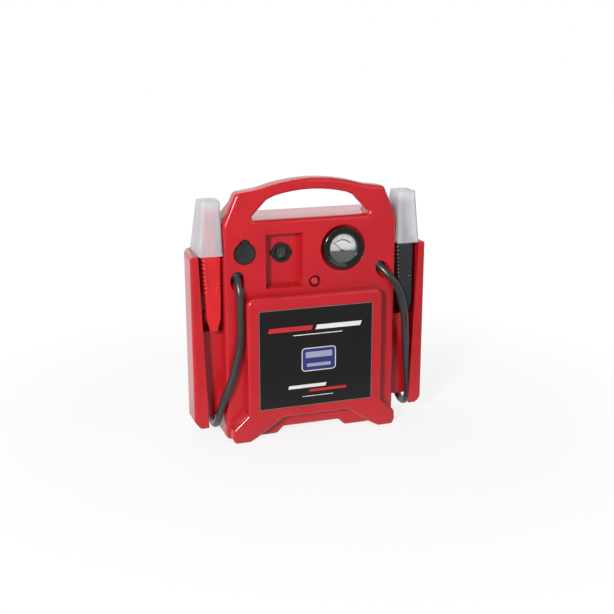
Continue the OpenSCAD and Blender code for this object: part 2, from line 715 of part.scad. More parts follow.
module gland(at, dir) color("#1d1f20") difference() {
    union() {
        rod(at, dir, gland_r, -gland_l, gland_seat + 0.5);
        rod(at, dir, gland_r + 1.6, gland_seat, gland_seat + 2.2);
        translate(at) rotate([0, acos(dir.z / norm(dir)), atan2(dir.y, dir.x)]) translate([0, 0, gland_seat + 2])
            cylinder(r1 = gland_r - 0.4, r2 = lead_d / 2 + 1, h = 4);
    }
    rod(at, dir, lead_d / 2 + fit, -gland_l - 1, 10);
}
module left_gland() gland(pos_exit, pos_dir);
module right_gland() gland(neg_exit, neg_dir);
module positive_lead() color("#2b2e2e") tube(pos_route, lead_d / 2, 12);
module negative_lead() color("#2b2e2e") tube(neg_route, lead_d / 2, 12);
module positive_inner_cable() color("#b01010") tube(pos_inner, cable_d / 2, 8);
module negative_inner_cable() color("#202020") tube(neg_inner, cable_d / 2, 8);

// ---- holsters and caps, drawn on the right flank ----

module flank(side) if (side > 0) children(); else mirror([1, 0, 0]) children();

// extrudes an outline of [y, z] points along X from x0 to x1
module along_x(x0, x1) translate([x0, 0, 0]) rotate([90, 0, 90]) linear_extrude(x1 - x0) children();

holster_spots = [[-2, 70], [-2, 140], [20, 186], [20, 258]];
cap_spots = [[-9, holster_top - 8], [9, holster_top - 8]];

module holster_shape() difference() {
    union() {
        // side wall: its outline from the side, cut by its outline from above
        intersection() {
            along_x(half_w, hol_x) polygon(rounded([[hol_y, holster_low, 7], [hol_y + 26, holster_low, 14],
                [hol_back, holster_low + 30, 18], [hol_back, holster_top, 4], [hol_y, holster_top, 4]], 4));
            linear_extrude(400) polygon(rounded([[hol_in, hol_y, 0], [hol_x, hol_y, 5],
                [hol_x, hol_y + 40, 20], [hol_in + 2.5, hol_back, 1], [hol_in, hol_back, 0]], 5));
            upright() translate([0, 0, -100]) linear_extrude(200) polygon(rounded([[hol_in - 30, 0, 0],
                [hol_in - 30, holster_low, 0], [hol_x - 10, holster_low, 4], [hol_x, holster_low + 13, 4],
                [hol_x, holster_top, 5], [hol_in - 30, holster_top, 0]], 4));
        }
        // lip along the front edge, wider towards the foot
        upright() translate([0, 0, -hol_y - 3]) linear_extrude(3) polygon([[hol_in + 1, holster_low + 2],
            [hol_in + 1, holster_top - 4], [hol_in, holster_top - 4], [hol_in - 9.5, holster_low + 6],
            [hol_in - 9.5, holster_low + 2]]);
        // rear wall of the pocket, the shelf and the floor of the channel below it
        along_x(half_w, hol_in + 1) polygon([[hol_back, shelf_z - 3.5], [hol_back, holster_top],
            [hol_back - floor_t, holster_top], [hol_back - floor_t, shelf_z], [floor_y, shelf_z],
            [floor_y, floor_low], [floor_y + floor_t, floor_low], [floor_y + floor_t, shelf_z - 3.5]]);
        // flange against the housing
        along_x(half_w, half_w + flange_t) polygon([[floor_y + 1, floor_low + 12], [8, floor_low + 12],
            [8, shelf_z - 3], [hol_back - 1, shelf_z - 3], [hol_back - 1, holster_top],
            [hol_back - 12, holster_top], [hol_back - 12, shelf_z - 1], [floor_y + 1, shelf_z - 1]]);
    }
    // the way of the lead through the shelf
    translate([clamp_x, lead_back, shelf_z - 5]) cylinder(r = lead_d / 2 + 1.5, h = 6);
    for (p = holster_spots) translate([half_w - 1, p.x, p.y]) rotate([0, 90, 0]) cylinder(r = 2 + fit, h = 6);
    for (p = cap_spots) translate([cap_x + p.x, hol_back - 5, p.y]) rotate([-90, 0, 0]) cylinder(r = 1.5 + slip, h = 8);
}
module left_holster() color("firebrick") flank(-1) holster_shape();
module right_holster() color("firebrick") flank(1) holster_shape();

module holster_screws() color("dimgray") for (s = [-1, 1]) flank(s) for (p = holster_spots)
    translate([half_w - wall, p.x, p.y]) rotate([0, 90, 0]) {
        cylinder(r = 2, h = wall + flange_t);
        translate([0, 0, wall + flange_t]) cylinder(r = 3.8, h = 2.2);
    }

module cap_block(t, drop) hull() {
    y1 = cap_y0 + cap_d;
    translate([cap_x - cap_w / 2 + t, cap_y0 + t, holster_top - drop]) rounded_slab(cap_w - 2 * t, cap_d - 2 * t, 5);
    translate([cap_x - 2 - cap_top_w / 2 + t, cap_y0 + 5 + t, holster_top + cap_h - t - 0.5])
        rounded_slab(cap_top_w - 2 * t, cap_top_d - 2 * t, 5);
}
module rounded_slab(w, d, r) linear_extrude(0.5) polygon(rounded([[0, 0, r], [w, 0, r], [w, d, r], [0, d, r]], 4));

module jaw_cap_shape() {
    difference() {
        union() {
            cap_block(0, 0);
            translate([cap_x - cap_w / 2 - 0.5, cap_y0 - 0.5, holster_top]) linear_extrude(2.5)
                polygon(rounded([[0, 0, 5], [cap_w + 1, 0, 5], [cap_w + 1, cap_d + 1, 5], [0, cap_d + 1, 5]], 4));
        }
        cap_block(cap_t, 1);
    }
    // tongue down the inner face of the pocket's rear wall
    difference() {
        box([cap_x - 14, hol_back - floor_t - cap_t, holster_top - 16], [cap_x + 14, hol_back - floor_t, holster_top + 2]);
        for (p = cap_spots) translate([cap_x + p.x, hol_back - 10, p.y]) rotate([-90, 0, 0]) cylinder(r = 1.5 + fit, h = 10);
    }
}
module left_jaw_cap() color("whitesmoke", 0.5) flank(-1) jaw_cap_shape();
module right_jaw_cap() color("whitesmoke", 0.5) flank(1) jaw_cap_shape();

module cap_screws() color("dimgray") for (s = [-1, 1]) flank(s) for (p = cap_spots)
    translate([cap_x + p.x, hol_back, p.y]) rotate([90, 0, 0]) {
        cylinder(r = 1.5, h = floor_t + cap_t);
        translate([0, 0, -1.8]) cylinder(r = 3, h = 1.8);
    }

// ---- clamps, drawn round their pivot with the moving half towards -Y ----

function grip_u(w, slope) = 18.5 - slope * w;

module at_pivot(side) translate([side * clamp_x, pivot_y, pivot_z]) children();

// the sheet metal half: two cheeks, the back that joins them and a toothed bar
module jaw_half(dir, tang, slope) scale_y(dir) difference() {
    union() {
        for (s = [-1, 1]) along_x(s * (tang - sheet_t / 2) - sheet_t / 2, s * (tang - sheet_t / 2) + sheet_t / 2) {
            polygon([[2, 14], [2, jaw_l - 2], [4, jaw_l], [8, jaw_l - 3], [12.5, 24], [13.5, 2],
                [grip_u(-12, slope) - grip_t - slip, -12], [grip_u(tang_end, slope) - grip_t - slip, tang_end],
                [grip_u(tang_end, slope) - grip_t - 4, tang_end], [9, -10]]);
            circle(lug_r);
            polygon([[2, 15], [12, 10], [9, -8], [lug_r - 1, -2], [3, 5]]);
        }
        along_x(-tang, tang) polygon([[4, jaw_l], [8, jaw_l - 3], [12.5, 24], [13.5, 2],
            [grip_u(-12, slope) - grip_t - slip, -12], [grip_u(tang_end, slope) - grip_t - slip, tang_end],
            [grip_u(tang_end, slope) - grip_t - slip - sheet_t, tang_end],
            [grip_u(-12, slope) - grip_t - slip - sheet_t, -12], [13.5 - sheet_t, 2], [12.5 - sheet_t, 23.5],
            [6.5, jaw_l - 4]]);
        // toothed bar across both cheeks
        along_x(-rear_tang, rear_tang) polygon(concat([[5, 16], [5, jaw_l - 1], [2, jaw_l - 1]],
            [for (w = [jaw_l - 1 : -4 : 20]) each [[0.3, w - 1], [2.2, w - 3]]]));
    }
    translate([-20, 0, 0]) rotate([0, 90, 0]) cylinder(r = pin_r + fit, h = 40);
}
module scale_y(dir) if (dir > 0) children(); else mirror([0, 1, 0]) children();

// the moulded grip: a channel over the tang, ribbed down both edges
module grip_half_shape(dir, tang, slope, len) scale_y(dir) difference() {
    intersection() {
        along_x(-clamp_w / 2, clamp_w / 2) polygon(rounded([[grip_u(grip_start, slope) - 9, grip_start, 2],
            [grip_u(grip_start, slope), grip_start, 4],
            [grip_u(-len, slope), -len, 4], [grip_u(-len, slope) - 9, -len, 3],
            [grip_u(-60, slope) - 8.5, -60, 0]], 3));
        upright() translate([0, 0, -60]) linear_extrude(120) polygon(rounded([[-clamp_w / 2, grip_start, 1],
            [-clamp_w / 2 + 3, -len + 20, 6], [-4.5, -len, 3], [4.5, -len, 3],
            [clamp_w / 2 - 3, -len + 20, 6], [clamp_w / 2, grip_start, 1]], 3));
    }
    intersection() {
        along_x(-tang - slip, tang + slip) polygon([[grip_u(0, slope) - grip_t, 0],
            [grip_u(-len + 6, slope) - grip_t, -len + 6], [grip_u(-len + 6, slope) - 20, -len + 6], [-5, -60], [-5, 0]]);
        upright() translate([0, 0, -60]) linear_extrude(120) polygon([[-tang - slip, 0], [-tang - slip, -58],
            [-4, -len + 8], [4, -len + 8], [tang + slip, -58], [tang + slip, 0]]);
    }
    for (s = [-1, 1]) for (k = [0 : 8])
        translate([s * (clamp_w / 2 + 0.6 - k * 0.16), 60, grip_start - 4 - 5.6 * k])
            rotate([90, 0, 0]) cylinder(r = 1.7, h = 120, $fn = 16);
}

// where the lead enters the rear grip
module cable_socket(side) difference() {
    children();
    translate([side * clamp_x, lead_back, shelf_z - 1]) cylinder(r = lead_d / 2 + fit, h = 9);
}

// a coil round the pin whose legs press the tangs of both halves apart
function leg_u(slope) = grip_u(-30, slope) - grip_t - slip - sheet_t - spring_wire / 2 - 0.1;
module spring_path_tube() {
    n = 8;
    turns = spring_turns + 0.5;
    coil = [for (i = [0 : n * turns]) let (a = 360 * i / n)
        [spring_pitch * (i / n - turns / 2), -spring_r * cos(a), spring_r * sin(a)]];
    x = spring_pitch * turns / 2;
    tube(concat([[-x, -leg_u(front_slope), -30], [-x, -leg_u(front_slope) + 3, -16], [-x, -spring_r - 0.4, -5]],
        coil, [[x, spring_r + 0.4, -5], [x, leg_u(rear_slope) - 3, -16], [x, leg_u(rear_slope), -30]]),
        spring_wire / 2, 6);
}

module rear_jaw(side) color("peru") at_pivot(side) jaw_half(1, rear_tang, rear_slope);
module front_jaw(side) color("peru") at_pivot(side) jaw_half(-1, front_tang, front_slope);
module rear_grip(side, tint) color(tint) cable_socket(side) union() {
    at_pivot(side) grip_half_shape(1, rear_tang, rear_slope, grip_len);
    difference() {
        translate([side * clamp_x, lead_back, shelf_z]) cylinder(r = lead_d / 2 + 2.2, h = 20);
        translate([side * clamp_x, lead_back, shelf_z + 9]) cylinder(r = lead_d / 2, h = 20);
    }
}
module front_grip(side, tint) color(tint) at_pivot(side) grip_half_shape(-1, front_tang, front_slope, grip_len - 4);
module pivot_pin(side) color("silver") at_pivot(side) rotate([0, 90, 0]) {
    translate([0, 0, -rear_tang - 0.3]) cylinder(r = pin_r, h = 2 * rear_tang + 0.6);
    for (s = [-1, 1]) translate([0, 0, s * (rear_tang + 0.8) - 0.6]) cylinder(r = pin_r + 1.5, h = 1.2);
}
module clamp_spring(side) color("silver") at_pivot(side) spring_path_tube();

module positive_rear_jaw() rear_jaw(-1);
module positive_rear_grip() rear_grip(-1, "#e11e26");
module positive_front_jaw() front_jaw(-1);
module positive_front_grip() front_grip(-1, "#e11e26");
module positive_pivot_pin() pivot_pin(-1);
module positive_spring() clamp_spring(-1);
module negative_rear_jaw() rear_jaw(1);
module negative_rear_grip() rear_grip(1, "#1d1d1f");
module negative_front_jaw() front_jaw(1);
module negative_front_grip() front_grip(1, "#1d1d1f");
module negative_pivot_pin() pivot_pin(1);
module negative_spring() clamp_spring(1);

// ---- battery and charger ----

module battery() color("#2a2f36") {
    box([-battery_w / 2, bat_back - battery_d, bat_z], [battery_w / 2, bat_back, bat_z + battery_h - 12]);
    box([-battery_w / 2 + 1.5, bat_back - battery_d + 1.5, bat_z + battery_h - 13],
        [battery_w / 2 - 1.5, bat_back - 1.5, bat_top]);
}

module battery_lugs() color("goldenrod") for (s = [-1, 1]) {
    box([s * term_x - 9, term_y - 8, bat_top], [s * term_x + 9, term_y + 8, bat_top + 3]);
    translate([s * lug_end, term_y, lug_z]) rotate([0, -s * 90, 0]) cylinder(r = 6.5, h = 12);
    translate([s * term_x, term_y, bat_top + 3]) cylinder(r = 5, h = 4, $fn = 6);
}

board_spots = [for (s = [-1, 1]) for (t = [-1, 1]) [s * (board_w / 2 - 5), board_z + t * (board_h / 2 - 5)]];
module charger_board() color("darkgreen") {
    difference() {
        box([-board_w / 2, board_y, board_z - board_h / 2], [board_w / 2, board_y + 1.6, board_z + board_h / 2]);
        for (p = board_spots) disc(p, 1.2 + slip, board_y - 1, board_y + 3);
    }
    for (x = [-38, -24, -10]) disc([x, board_z + 16], 5, board_y - 14, board_y);
    box([14, board_y - 12, board_z + 8], [44, board_y, board_z + 14]);
}

module charger_transformer() color("#6b5b2a")
    box([4, board_y - 24, board_z - 26], [40, board_y, board_z]);

module board_screws() color("silver") for (p = board_spots) {
    disc(p, 1.2, board_y - 0.5, board_y + 9);
    disc(p, 2.6, board_y - 2, board_y);
}

front_housing();
rear_housing();
housing_screws();
left_holster();
right_holster();
holster_screws();
left_jaw_cap();
right_jaw_cap();
cap_screws();
label_plate();
outlet_bezel();
outlet_sleeve();
outlet_contact();
outlet_nut();
outlet_lid();
outlet_lid_pin();
inlet_body();
inlet_pins();
meter_case();
meter_dial();
meter_movement();
meter_needle();
meter_mask();
meter_lens();
button_bezel();
test_button();
test_switch();
left_gland();
right_gland();
positive_lead();
negative_lead();
positive_rear_jaw();
positive_rear_grip();
positive_front_jaw();
positive_front_grip();
positive_pivot_pin();
positive_spring();
negative_rear_jaw();
negative_rear_grip();
negative_front_jaw();
negative_front_grip();
negative_pivot_pin();
negative_spring();
battery();
battery_lugs();
positive_inner_cable();
negative_inner_cable();
charger_board();
charger_transformer();
board_screws();
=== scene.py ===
import json
import math

import bmesh
import bpy
import numpy as np
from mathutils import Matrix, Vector


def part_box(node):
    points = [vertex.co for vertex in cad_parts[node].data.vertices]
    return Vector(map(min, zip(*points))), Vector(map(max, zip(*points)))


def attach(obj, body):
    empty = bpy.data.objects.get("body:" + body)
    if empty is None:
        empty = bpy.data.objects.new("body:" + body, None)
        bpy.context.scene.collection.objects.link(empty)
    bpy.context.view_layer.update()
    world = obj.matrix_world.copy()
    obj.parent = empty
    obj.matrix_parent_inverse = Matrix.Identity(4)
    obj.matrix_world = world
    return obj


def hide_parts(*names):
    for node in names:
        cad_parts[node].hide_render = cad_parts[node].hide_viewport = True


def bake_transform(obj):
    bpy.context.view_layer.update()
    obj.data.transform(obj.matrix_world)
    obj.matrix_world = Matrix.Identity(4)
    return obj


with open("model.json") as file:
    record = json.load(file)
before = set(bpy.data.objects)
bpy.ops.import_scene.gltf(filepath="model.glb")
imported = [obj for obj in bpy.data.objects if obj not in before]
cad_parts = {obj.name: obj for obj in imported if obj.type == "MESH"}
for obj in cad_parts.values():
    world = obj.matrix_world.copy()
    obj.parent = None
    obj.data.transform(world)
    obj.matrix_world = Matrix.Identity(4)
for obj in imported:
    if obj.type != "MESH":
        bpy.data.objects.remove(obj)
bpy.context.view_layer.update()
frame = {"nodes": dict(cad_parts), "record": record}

scene = bpy.context.scene
scene.view_settings.view_transform = "Standard"
nodes = frame["nodes"]
owner = {node: body for body, members in frame["record"]["behaviour"]["bodies"].items()
         for node in members}

# ---- camera and studio ----
# The camera stands to the left of the pack's front and a little above it. A small bright
# box stands high on the left, a large weak one on the right, and a third hangs over the
# back, all on white paper.

camera = bpy.data.objects.new("studio_camera", bpy.data.cameras.new("studio_camera"))
scene.collection.objects.link(camera)
scene.camera = camera
camera.location = (-0.468, -1.366, 0.5805)
aim = Vector((-0.008, -0.037, 0.193)) - camera.location
camera.rotation_euler = aim.to_track_quat("-Z", "Y").to_euler()
camera.data.sensor_width = 36
camera.data.lens = 58.6


def linear(code):
    """An sRGB hex colour as linear RGBA: each channel c becomes ((c + 0.055) / 1.055) ** 2.4,
    or c / 12.92 where it is under 0.04045."""
    c = np.array([int(code[i:i + 2], 16) for i in (1, 3, 5)]) / 255
    c = np.where(c < 0.04045, c / 12.92, ((c + 0.055) / 1.055) ** 2.4)
    return (*c.tolist(), 1.0)


def add(material, kind, **settings):
    """Adds one node to the material. A setting is a property of the node or one of its inputs,
    by name with _ for a space or as in_0, in_1; a socket given for an input is linked to it."""
    tree = material.node_tree
    node = tree.nodes.new("ShaderNode" + kind)
    for name, value in settings.items():
        if name in node.bl_rna.properties:
            setattr(node, name, value)
            continue
        socket = node.inputs[int(name[3:]) if name.startswith("in_") else name.replace("_", " ")]
        if isinstance(value, bpy.types.NodeSocket):
            tree.links.new(value, socket)
        else:
            socket.default_value = value
    return node


def blank(name):
    """A material with an empty node tree."""
    material = bpy.data.materials.new(name)
    material.use_nodes = True
    material.node_tree.nodes.clear()
    return material


def soft_box(name, place, size, power):
    """A square area lamp of this size in metres and power in watts, at a place, turned to the
    middle of the pack."""
    lamp = bpy.data.objects.new(name, bpy.data.lights.new(name, "AREA"))
    scene.collection.objects.link(lamp)
    lamp.data.size = size
    lamp.data.energy = power
    lamp.location = place
    aim = Vector((0, 0, 0.19)) - lamp.location
    lamp.rotation_euler = aim.to_track_quat("-Z", "Y").to_euler()


soft_box("key_box", (-1.65, -2.1, 1.15), 0.36, 65)
soft_box("fill_box", (1.6, -2.2, 1.1), 1.8, 8)
soft_box("top_box", (-0.2, 0.6, 2.3), 1.4, 14)


def paper_light(material, along, near, far):
    """How bright the paper looks: white straight to the camera and through clear plastic. A
    glossy surface sees it white behind the pack and grey in front, as from a dark room: grey
    where along is under near, white where it is over far, and even between them."""
    ray = add(material, "LightPath")
    depth = add(material, "MapRange", in_0=along, in_1=near, in_2=far, in_3=0.2, in_4=1.0)
    plain = add(material, "Math", operation="MAXIMUM", in_0=ray.outputs["Is Camera Ray"],
                in_1=ray.outputs["Is Transmission Ray"])
    shine = add(material, "Math", operation="MULTIPLY", in_0=ray.outputs["Is Glossy Ray"],
                in_1=depth.outputs[0])
    level = add(material, "Math", operation="MAXIMUM", in_0=plain.outputs[0], in_1=shine.outputs[0])
    return ray, plain.outputs[0], level.outputs[0]


surround = bpy.data.worlds.new("studio_surround")
scene.world = surround
surround.use_nodes = True
surround.node_tree.nodes.clear()
way = add(surround, "SeparateXYZ", Vector=add(surround, "TexCoord").outputs["Generated"])
ray, _, level = paper_light(surround, way.outputs["Y"], -0.3, 0.3)
soft = add(surround, "Math", operation="MULTIPLY", in_0=ray.outputs["Is Diffuse Ray"], in_1=0.22)
level = add(surround, "Math", operation="MAXIMUM", in_0=level, in_1=soft.outputs[0])
sky = add(surround, "Background", Color=(1, 1, 1, 1), Strength=level.outputs[0])
add(surround, "OutputWorld", Surface=sky.outputs[0])

floor = bpy.data.objects.new("studio_floor", bpy.data.meshes.new("studio_floor"))
scene.collection.objects.link(floor)
floor.data.from_pydata([(-6, -6, 0), (6, -6, 0), (6, 6, 0), (-6, 6, 0)], [], [(0, 1, 2, 3)])
paper = blank("studio_paper")
way = add(paper, "SeparateXYZ", Vector=add(paper, "TexCoord").outputs["Object"])
ray, plain, level = paper_light(paper, way.outputs["Y"], -0.3, 0.2)
matt = add(paper, "BsdfDiffuse", Color=(0.86, 0.86, 0.86, 1))
glow = add(paper, "Emission", Color=(1, 1, 1, 1), Strength=1.03)
# Near the pack a fifth of the paper's own shading shows; from 0.8 m away it is plain white.
away = add(paper, "VectorMath", operation="LENGTH",
           in_0=add(paper, "TexCoord").outputs["Object"]).outputs["Value"]
fade = add(paper, "MapRange", in_0=away, in_1=0.35, in_2=0.8, in_3=0.8, in_4=1.0)
shaded = add(paper, "Math", operation="MULTIPLY", in_0=plain, in_1=fade.outputs[0])
both = add(paper, "MixShader", in_0=shaded.outputs[0], in_1=matt.outputs[0], in_2=glow.outputs[0])
mirrored = add(paper, "Emission", Color=(1, 1, 1, 1), Strength=level)
last = add(paper, "MixShader", in_0=ray.outputs["Is Glossy Ray"], in_1=both.outputs[0],
           in_2=mirrored.outputs[0])
add(paper, "OutputMaterial", Surface=last.outputs[0])
floor.data.materials.append(paper)

# ---- leads ----
# Each lead is 11 mm of fine copper strand in a limp black rubber jacket. It comes out
# of its gland, runs down the front and under its holster, and up behind it to the clamp.

lead_radius = 0.0055


def smooth(points, steps):
    """A curve through the points. Between two of them it is the cubic whose direction at each
    is half the way between that point's two neighbours, at even steps."""
    p = np.vstack([2 * points[0] - points[1], points, 2 * points[-1] - points[-2]])
    t = np.linspace(0, 1, steps, endpoint=False)[None, :, None]
    a, b, c, d = (p[i:len(p) - 3 + i, None] for i in range(4))
    curve = b + (c - a) * t / 2 + (2 * a - 5 * b + 4 * c - d) * t**2 / 2 \
        + (3 * b - a - 3 * c + d) * t**3 / 2
    return np.vstack([curve.reshape(-1, points.shape[1]), points[-1:]])


def ring_path(path, radius, sides, reference=(1.0, 0.0, 0.0)):
    """Rings round a path. n is the reference less its share along the path's direction t, made
    unit; b is t cross n; a ring's points are path + radius (cos a n + sin a b)."""
    t = np.gradient(path, axis=0)
    t /= np.linalg.norm(t, axis=1)[:, None]
    n = np.array(reference) - (t @ np.array(reference))[:, None] * t
    n /= np.linalg.norm(n, axis=1)[:, None]
    b = np.cross(t, n)
    a = np.linspace(0, 2 * math.pi, sides, endpoint=False)[None, :, None]
    return path[:, None] + radius * (np.cos(a) * n[:, None] + np.sin(a) * b[:, None])


def skin(name, grid, finish, body="pack", ends=True):
    """A closed piece from a grid of points, rows along it and columns round it: a face between
    each four neighbours, and one face over each end, or the last row joined to the first. A
    stack of such grids makes as many skins in one piece."""
    count, rows, columns = grid.reshape(-1, *grid.shape[-3:]).shape[:3]
    r, c = np.meshgrid(np.arange(rows - 1 if ends else rows), np.arange(columns), indexing="ij")
    low, high = r * columns, (r + 1) % rows * columns
    sides = np.stack([low + c, low + (c + 1) % columns, high + (c + 1) % columns, high + c],
                     axis=-1).reshape(-1, 4)
    lids = np.arange(rows * columns).reshape(rows, columns)[[0, -1]]
    start = rows * columns * np.arange(count)[:, None, None]
    faces = (sides + start).reshape(-1, 4).tolist()
    caps = (lids + start).reshape(-1, columns).tolist() if ends else []
    return piece_of(name, grid.reshape(-1, 3), faces + caps, finish, body, len(faces))


def piece_of(name, points, faces, finish, body="pack", smooth_faces=0):
    """Its normals are turned outwards, and its first smooth_faces faces are shaded smooth."""
    mesh = bpy.data.meshes.new(name)
    mesh.from_pydata(points, [], faces)
    mesh.polygons.foreach_set("use_smooth", np.arange(len(faces)) < smooth_faces)
    work = bmesh.new()
    work.from_mesh(mesh)
    bmesh.ops.recalc_face_normals(work, faces=work.faces)
    work.to_mesh(mesh)
    work.free()
    mesh.materials.append(finish)
    piece = bpy.data.objects.new(name, mesh)
    scene.collection.objects.link(piece)
    if body:
        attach(piece, body)
    return piece


def shaded(base, share):
    """A colour times a share, at most 1 in each channel."""
    return [min(share * v, 1) for v in base[:3]] + [1]


def two_tone(finish, factor, first, last, start=0.0, stop=1.0):
    """A colour that goes from the first to the last as the factor goes from start to stop."""
    ramp = add(finish, "ValToRGB", Fac=factor)
    for i, (place, colour) in enumerate(((start, first), (stop, last))):
        ramp.color_ramp.elements[i].position = place
        ramp.color_ramp.elements[i].color = colour
    return ramp.outputs[0]


def rubber(name, shade, roughness, coat=0.0):
    """Black rubber, extruded or moulded. Its colour and gloss wander over 20 mm as handling
    leaves them, and a grain 0.5 mm across, drawn coarser than the real one, breaks its shine."""
    finish = blank(name)
    place = add(finish, "TexCoord").outputs["Object"]
    patch = add(finish, "TexNoise", Vector=place, Scale=50.0, Detail=3.0)
    base = linear(shade)
    tint = two_tone(finish, patch.outputs[0], shaded(base, 0.75), shaded(base, 1.25), 0.3, 0.7)
    gloss = add(finish, "MapRange", in_0=patch.outputs[0], in_3=roughness - 0.06,
                in_4=roughness + 0.06)
    grain = add(finish, "TexNoise", Vector=place, Scale=2000.0, Detail=2.0)
    bump = add(finish, "Bump", Height=grain.outputs[0], Strength=0.25, Distance=0.0001)
    shader = add(finish, "BsdfPrincipled", Base_Color=tint, IOR=1.52,
                 Roughness=gloss.outputs[0], Normal=bump.outputs[0], Coat_Weight=coat,
                 Coat_Roughness=0.3)
    add(finish, "OutputMaterial", Surface=shader.outputs[0])
    return finish


# The routes' points are in millimetres.
lead_rubber = rubber("limp_lead_rubber", "#2B2F2F", 0.34, coat=0.8)
routes = {"positive_lead": [
    (-112, -31, 245), (-112, -37, 239), (-111.8, -41.5, 232.5), (-111.2, -44.7, 224),
    (-110.8, -45.6, 212), (-110.6, -45.5, 195), (-110.6, -45.4, 175), (-111.4, -45.2, 155),
    (-114, -45, 137), (-118, -45, 120), (-122.5, -45, 104), (-127.5, -45, 89),
    (-132.5, -44.5, 76), (-137, -42, 64), (-140, -37.5, 52), (-141.5, -32, 41),
    (-142.5, -25, 30), (-143, -15.5, 21), (-143.5, -4, 17.5), (-144, 8, 21),
    (-144.5, 16, 31), (-145, 19, 45), (-145.5, 19, 62), (-146.5, 18.5, 85),
    (-147.5, 18, 110), (-148, 18, 135), (-148, 18, 158), (-148, 18, 172)],
    "negative_lead": [
    (107.5, -31, 245.5), (112, -37, 239.8), (117.5, -42, 233), (124, -45.5, 225),
    (130.5, -46.5, 214.5), (136, -46.5, 202), (140, -46.5, 188), (143, -46.5, 173),
    (145.5, -45, 158), (148, -41.5, 143), (151, -37, 127), (153.5, -33, 110),
    (156, -30, 94), (158, -28, 78), (160, -27, 62), (161.5, -26.5, 47),
    (162, -24.5, 33), (162, -16, 21.5), (162, -4, 17.5), (161.5, 8, 21.5),
    (161, 16, 31), (160, 19, 45), (158, 19, 62), (155, 18.5, 85),
    (152, 18, 110), (149.5, 18, 135), (148, 18, 158), (148, 18, 172)]}
for node, route in routes.items():
    path = smooth(np.array(route) / 1000, 6)
    lead = skin(node + "_jacket", ring_path(path, lead_radius, 32), lead_rubber)
    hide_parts(node)

# ---- housing ----
# Two halves of gloss red ABS, injection moulded and screwed together from the back. The
# solids are well rounded already, so the bevel only breaks their sharp lines.


def soften(node, finish, width, angle=30):
    """A copy of a solid's mesh with its doubles merged, its flat faces joined and its edges
    rounded by a bevel of this width in millimetres, where they turn more than the angle in
    degrees. It stands for the solid and rides on its body."""
    work = bmesh.new()
    work.from_mesh(nodes[node].data)
    bmesh.ops.remove_doubles(work, verts=work.verts, dist=2e-6)
    bmesh.ops.dissolve_limit(work, angle_limit=math.radians(0.5), verts=work.verts,
                             edges=work.edges)
    mesh = bpy.data.meshes.new(node + "_surface")
    work.to_mesh(mesh)
    work.free()
    mesh.polygons.foreach_set("use_smooth", [True] * len(mesh.polygons))
    mesh.set_sharp_from_angle(angle=math.radians(angle))
    mesh.materials.append(finish)
    piece = bpy.data.objects.new(node + "_surface", mesh)
    scene.collection.objects.link(piece)
    edge = piece.modifiers.new("rounded_edges", "BEVEL")
    edge.width = width / 1000
    edge.segments = 2
    edge.limit_method = "ANGLE"
    edge.angle_limit = math.radians(angle)
    edge.use_clamp_overlap = True
    normal = piece.modifiers.new("even_shading", "WEIGHTED_NORMAL")
    normal.keep_sharp = True
    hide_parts(node)
    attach(piece, owner[node])


def moulded(name, shade, roughness, grain, coat=0.0, depth=0.04):
    """A moulded plastic. Its colour wanders a little over 60 mm, its gloss over 25 mm as hands
    leave it, and a moulded grain breaks its shine, of this size and depth in millimetres."""
    finish = blank(name)
    place = add(finish, "TexCoord").outputs["Object"]
    base = linear(shade)
    cloud = add(finish, "TexNoise", Vector=place, Scale=17.0, Detail=2.0)
    tint = two_tone(finish, cloud.outputs[0], shaded(base, 0.93), shaded(base, 1.06), 0.35, 0.65)
    handled = add(finish, "TexNoise", Vector=place, Scale=40.0, Detail=4.0)
    gloss = add(finish, "MapRange", in_0=handled.outputs[0], in_3=roughness - 0.05,
                in_4=roughness + 0.05)
    leather = add(finish, "TexNoise", Vector=place, Scale=1000.0 / grain, Detail=1.0)
    bump = add(finish, "Bump", Height=leather.outputs[0], Strength=0.2, Distance=depth / 1000)
    shader = add(finish, "BsdfPrincipled", Base_Color=tint, IOR=1.54,
                 Roughness=gloss.outputs[0], Normal=bump.outputs[0], Coat_Weight=coat,
                 Coat_Roughness=0.12)
    add(finish, "OutputMaterial", Surface=shader.outputs[0])
    return finish


red_abs = moulded("gloss_red_abs", "#BE1722", 0.24, 0.9, coat=0.4)
for node in ("front_housing", "rear_housing"):
    soften(node, red_abs, 0.35, angle=50)

# ---- label ----
# A printed film on a thin plate, set flush in its recess. Its print is screened in ink: a
# light edge line, plain stripes, and a plain blue badge with a pale border.

label_film = moulded("printed_vinyl_film", "#151213", 0.34, 0.5, depth=0.02)
soften("label_plate", label_film, 0.15)


def inlay(name, outlines, y, depth, finish):
    """Flat marks in front of the plane y, all in millimetres. Each outline, its points as x and
    z, is one face at y - depth, one at y, and a wall of four-sided faces between them."""
    points, faces, base = [], [], 0
    for outline in outlines:
        n = len(outline)
        i, j = np.arange(n), (np.arange(n) + 1) % n
        points += [np.insert(outline, 1, y - depth, axis=1), np.insert(outline, 1, y, axis=1)]
        faces += [(base + i).tolist(), (base + n + i[::-1]).tolist()]
        faces += (base + np.stack([j, i, n + i, n + j], axis=1)).tolist()
        base += 2 * n
    return piece_of(name, np.vstack(points) / 1000, faces, finish)


def rounded_plate(x0, x1, z0, z1, radius, lean=0.0):
    """A rectangle with round corners, nine points on each. lean slides its top to the right."""
    a = np.radians(np.linspace(0, 90, 9)[None] + np.array([0, 90, 180, 270])[:, None]).ravel()
    corner = np.repeat([[x1 - radius, z1 - radius], [x0 + radius, z1 - radius],
                        [x0 + radius, z0 + radius], [x1 - radius, z0 + radius]], 9, axis=0)
    outline = corner + radius * np.column_stack([np.cos(a), np.sin(a)])
    outline[:, 0] += lean * (outline[:, 1] - z0)
    return outline


